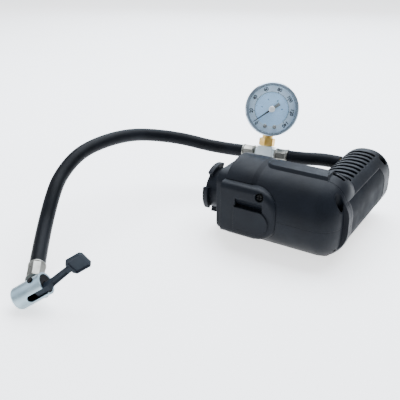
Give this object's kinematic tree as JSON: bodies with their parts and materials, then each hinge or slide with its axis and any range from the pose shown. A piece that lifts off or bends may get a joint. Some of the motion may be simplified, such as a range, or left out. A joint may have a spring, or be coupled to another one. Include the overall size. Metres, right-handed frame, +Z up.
{
  "type": "portable tire inflator",
  "caption": "Cordless tire inflator head with a slotted pump cover, a bayonet battery foot, a short air hose, a round pressure gauge on a tee and a lever-lock valve chuck.",
  "frame": {"origin": "on the surface that the head lies on, under the middle of the head's outline", "axes": "+X along the motor barrel from the bayonet foot to the elbow, +Y along the slotted barrel away from the elbow, +Z up"},
  "size_m": [0.2345, 0.299, 0.1139],
  "materials": {
    "case_plastic": "dark blue-grey moulded ABS, fine satin grain",
    "black_plastic": "black moulded nylon",
    "label_film": "bare satin film",
    "black_screw": "black oxide screws",
    "foot_rubber": "soft black rubber",
    "motor_steel": "zinc-plated deep-drawn steel",
    "motor_plastic": "glass-filled nylon",
    "shaft_steel": "ground steel",
    "core_steel": "stacked steel sheet",
    "copper": "enamelled copper wire",
    "carbon": "pressed carbon",
    "bronze": "sintered bronze",
    "gear_metal": "sintered steel",
    "cast_aluminium": "die-cast aluminium",
    "ring_plastic": "filled PTFE",
    "gasket_sheet": "gasket sheet",
    "brass": "turned brass, slightly dull",
    "hose_rubber": "smooth extruded rubber hose",
    "tee_zinc": "pale zinc-plated steel",
    "ferrule_nickel": "nickel-plated crimp ferrules",
    "gauge_chrome": "chromed steel",
    "gauge_glass": "clear lens",
    "dial_enamel": "pale blue-white printed dial",
    "needle_black": "black painted needle",
    "hub_metal": "turned steel",
    "chuck_zinc": "satin zinc-plated steel",
    "seal_rubber": "black nitrile seal",
    "core_brass": "turned brass",
    "lever_plastic": "dark slate moulded nylon"
  },
  "bodies": {
    "body": {"housing_upper": "case_plastic", "housing_lower": "case_plastic", "shroud_upper": "case_plastic", "shroud_lower": "case_plastic", "side_cover": "case_plastic", "bayonet_foot": "case_plastic", "contact_block": "black_plastic", "end_plug": "black_plastic", "label_plate": "label_film", "case_screws": "black_screw", "rubber_feet": "foot_rubber", "hose_grommet": "foot_rubber", "motor_can": "motor_steel", "gear_frame": "motor_steel", "motor_cap": "motor_plastic", "valve_spring": "shaft_steel", "head_screws": "shaft_steel", "motor_magnets": "core_steel", "motor_brushes": "carbon", "drive_bushings": "bronze", "cylinder": "cast_aluminium", "cylinder_head": "cast_aluminium", "head_gasket": "gasket_sheet", "contact_blades": "brass", "valve_cap": "brass", "outlet_fitting": "brass", "gauge_socket": "brass", "gauge_movement": "brass", "hose_short": "hose_rubber", "hose_long": "hose_rubber", "tee_block": "tee_zinc", "tee_ferrules": "ferrule_nickel", "chuck_ferrule": "ferrule_nickel", "gauge_case": "gauge_chrome", "gauge_bezel": "gauge_chrome", "gauge_lens": "gauge_glass", "gauge_dial": "dial_enamel", "dial_screws": "hub_metal", "chuck_body": "chuck_zinc", "lever_pin": "chuck_zinc", "chuck_seal": "seal_rubber", "chuck_core": "core_brass"},
    "rotor": {"rotor_shaft": "shaft_steel", "rotor_core": "core_steel", "rotor_windings": "copper", "commutator": "copper", "cooling_fan": "motor_plastic", "pinion": "gear_metal"},
    "crank": {"crank_gear": "gear_metal", "crank_shaft": "shaft_steel"},
    "piston": {"piston": "cast_aluminium", "piston_ring": "ring_plastic", "wrist_pin": "shaft_steel"},
    "rod": {"con_rod": "cast_aluminium", "crank_pin": "shaft_steel"},
    "needle": {"gauge_needle": "needle_black", "needle_hub": "hub_metal"},
    "valve": {"valve_disc": "shaft_steel"},
    "lever": {"chuck_lever": "lever_plastic"},
    "depressor": {"chuck_plunger": "core_brass"}
  },
  "joints": [
    {"name": "motor_spin", "type": "hinge", "parent": "body", "child": "rotor", "pos_m": [0.00055, -0.0325, 0.0355], "axis": [1, 0, 0], "continuous": true},
    {"name": "crank_spin", "type": "hinge", "parent": "body", "child": "crank", "pos_m": [0.03455, -0.0165, 0.0355], "axis": [1, 0, 0], "continuous": true},
    {"name": "piston_stroke", "type": "slide", "parent": "body", "child": "piston", "axis": [0, 1, 0], "range_m": [0, 0.013]},
    {"name": "rod_swing", "type": "hinge", "parent": "piston", "child": "rod", "pos_m": [0.04055, 0.019, 0.0355], "axis": [1, 0, 0], "range_deg": [-9, 9]},
    {"name": "outlet_valve", "type": "slide", "parent": "body", "child": "valve", "axis": [0, 0, 1], "range_m": [0, 0.0008], "stiffness_N_per_m": 120, "springref_m": -0.004, "deforming": ["valve_spring"]},
    {"name": "gauge_needle_turn", "type": "hinge", "parent": "body", "child": "needle", "pos_m": [-0.04754, 0.04232, 0.08948], "axis": [-0.4853, 0.8226, -0.2963], "range_deg": [0, 270], "stiffness_Nm_per_rad": 0.0001, "springref_deg": -28.65},
    {"name": "lever_swing", "type": "hinge", "parent": "body", "child": "lever", "pos_m": [-0.10092, -0.21226, 0.01683], "axis": [0.3315, 0.4586, -0.8245], "range_deg": [0, 90]},
    {"name": "depressor_push", "type": "slide", "parent": "body", "child": "depressor", "axis": [-0.7266, -0.4334, -0.5332], "range_m": [0, 0.0012]}
  ],
  "couplings": [
    {"joint": "crank_spin", "follows": "motor_spin", "ratio": -0.25},
    {"joint": "depressor_push", "follows": "lever_swing", "m_per_rad": 0.00076}
  ]
}
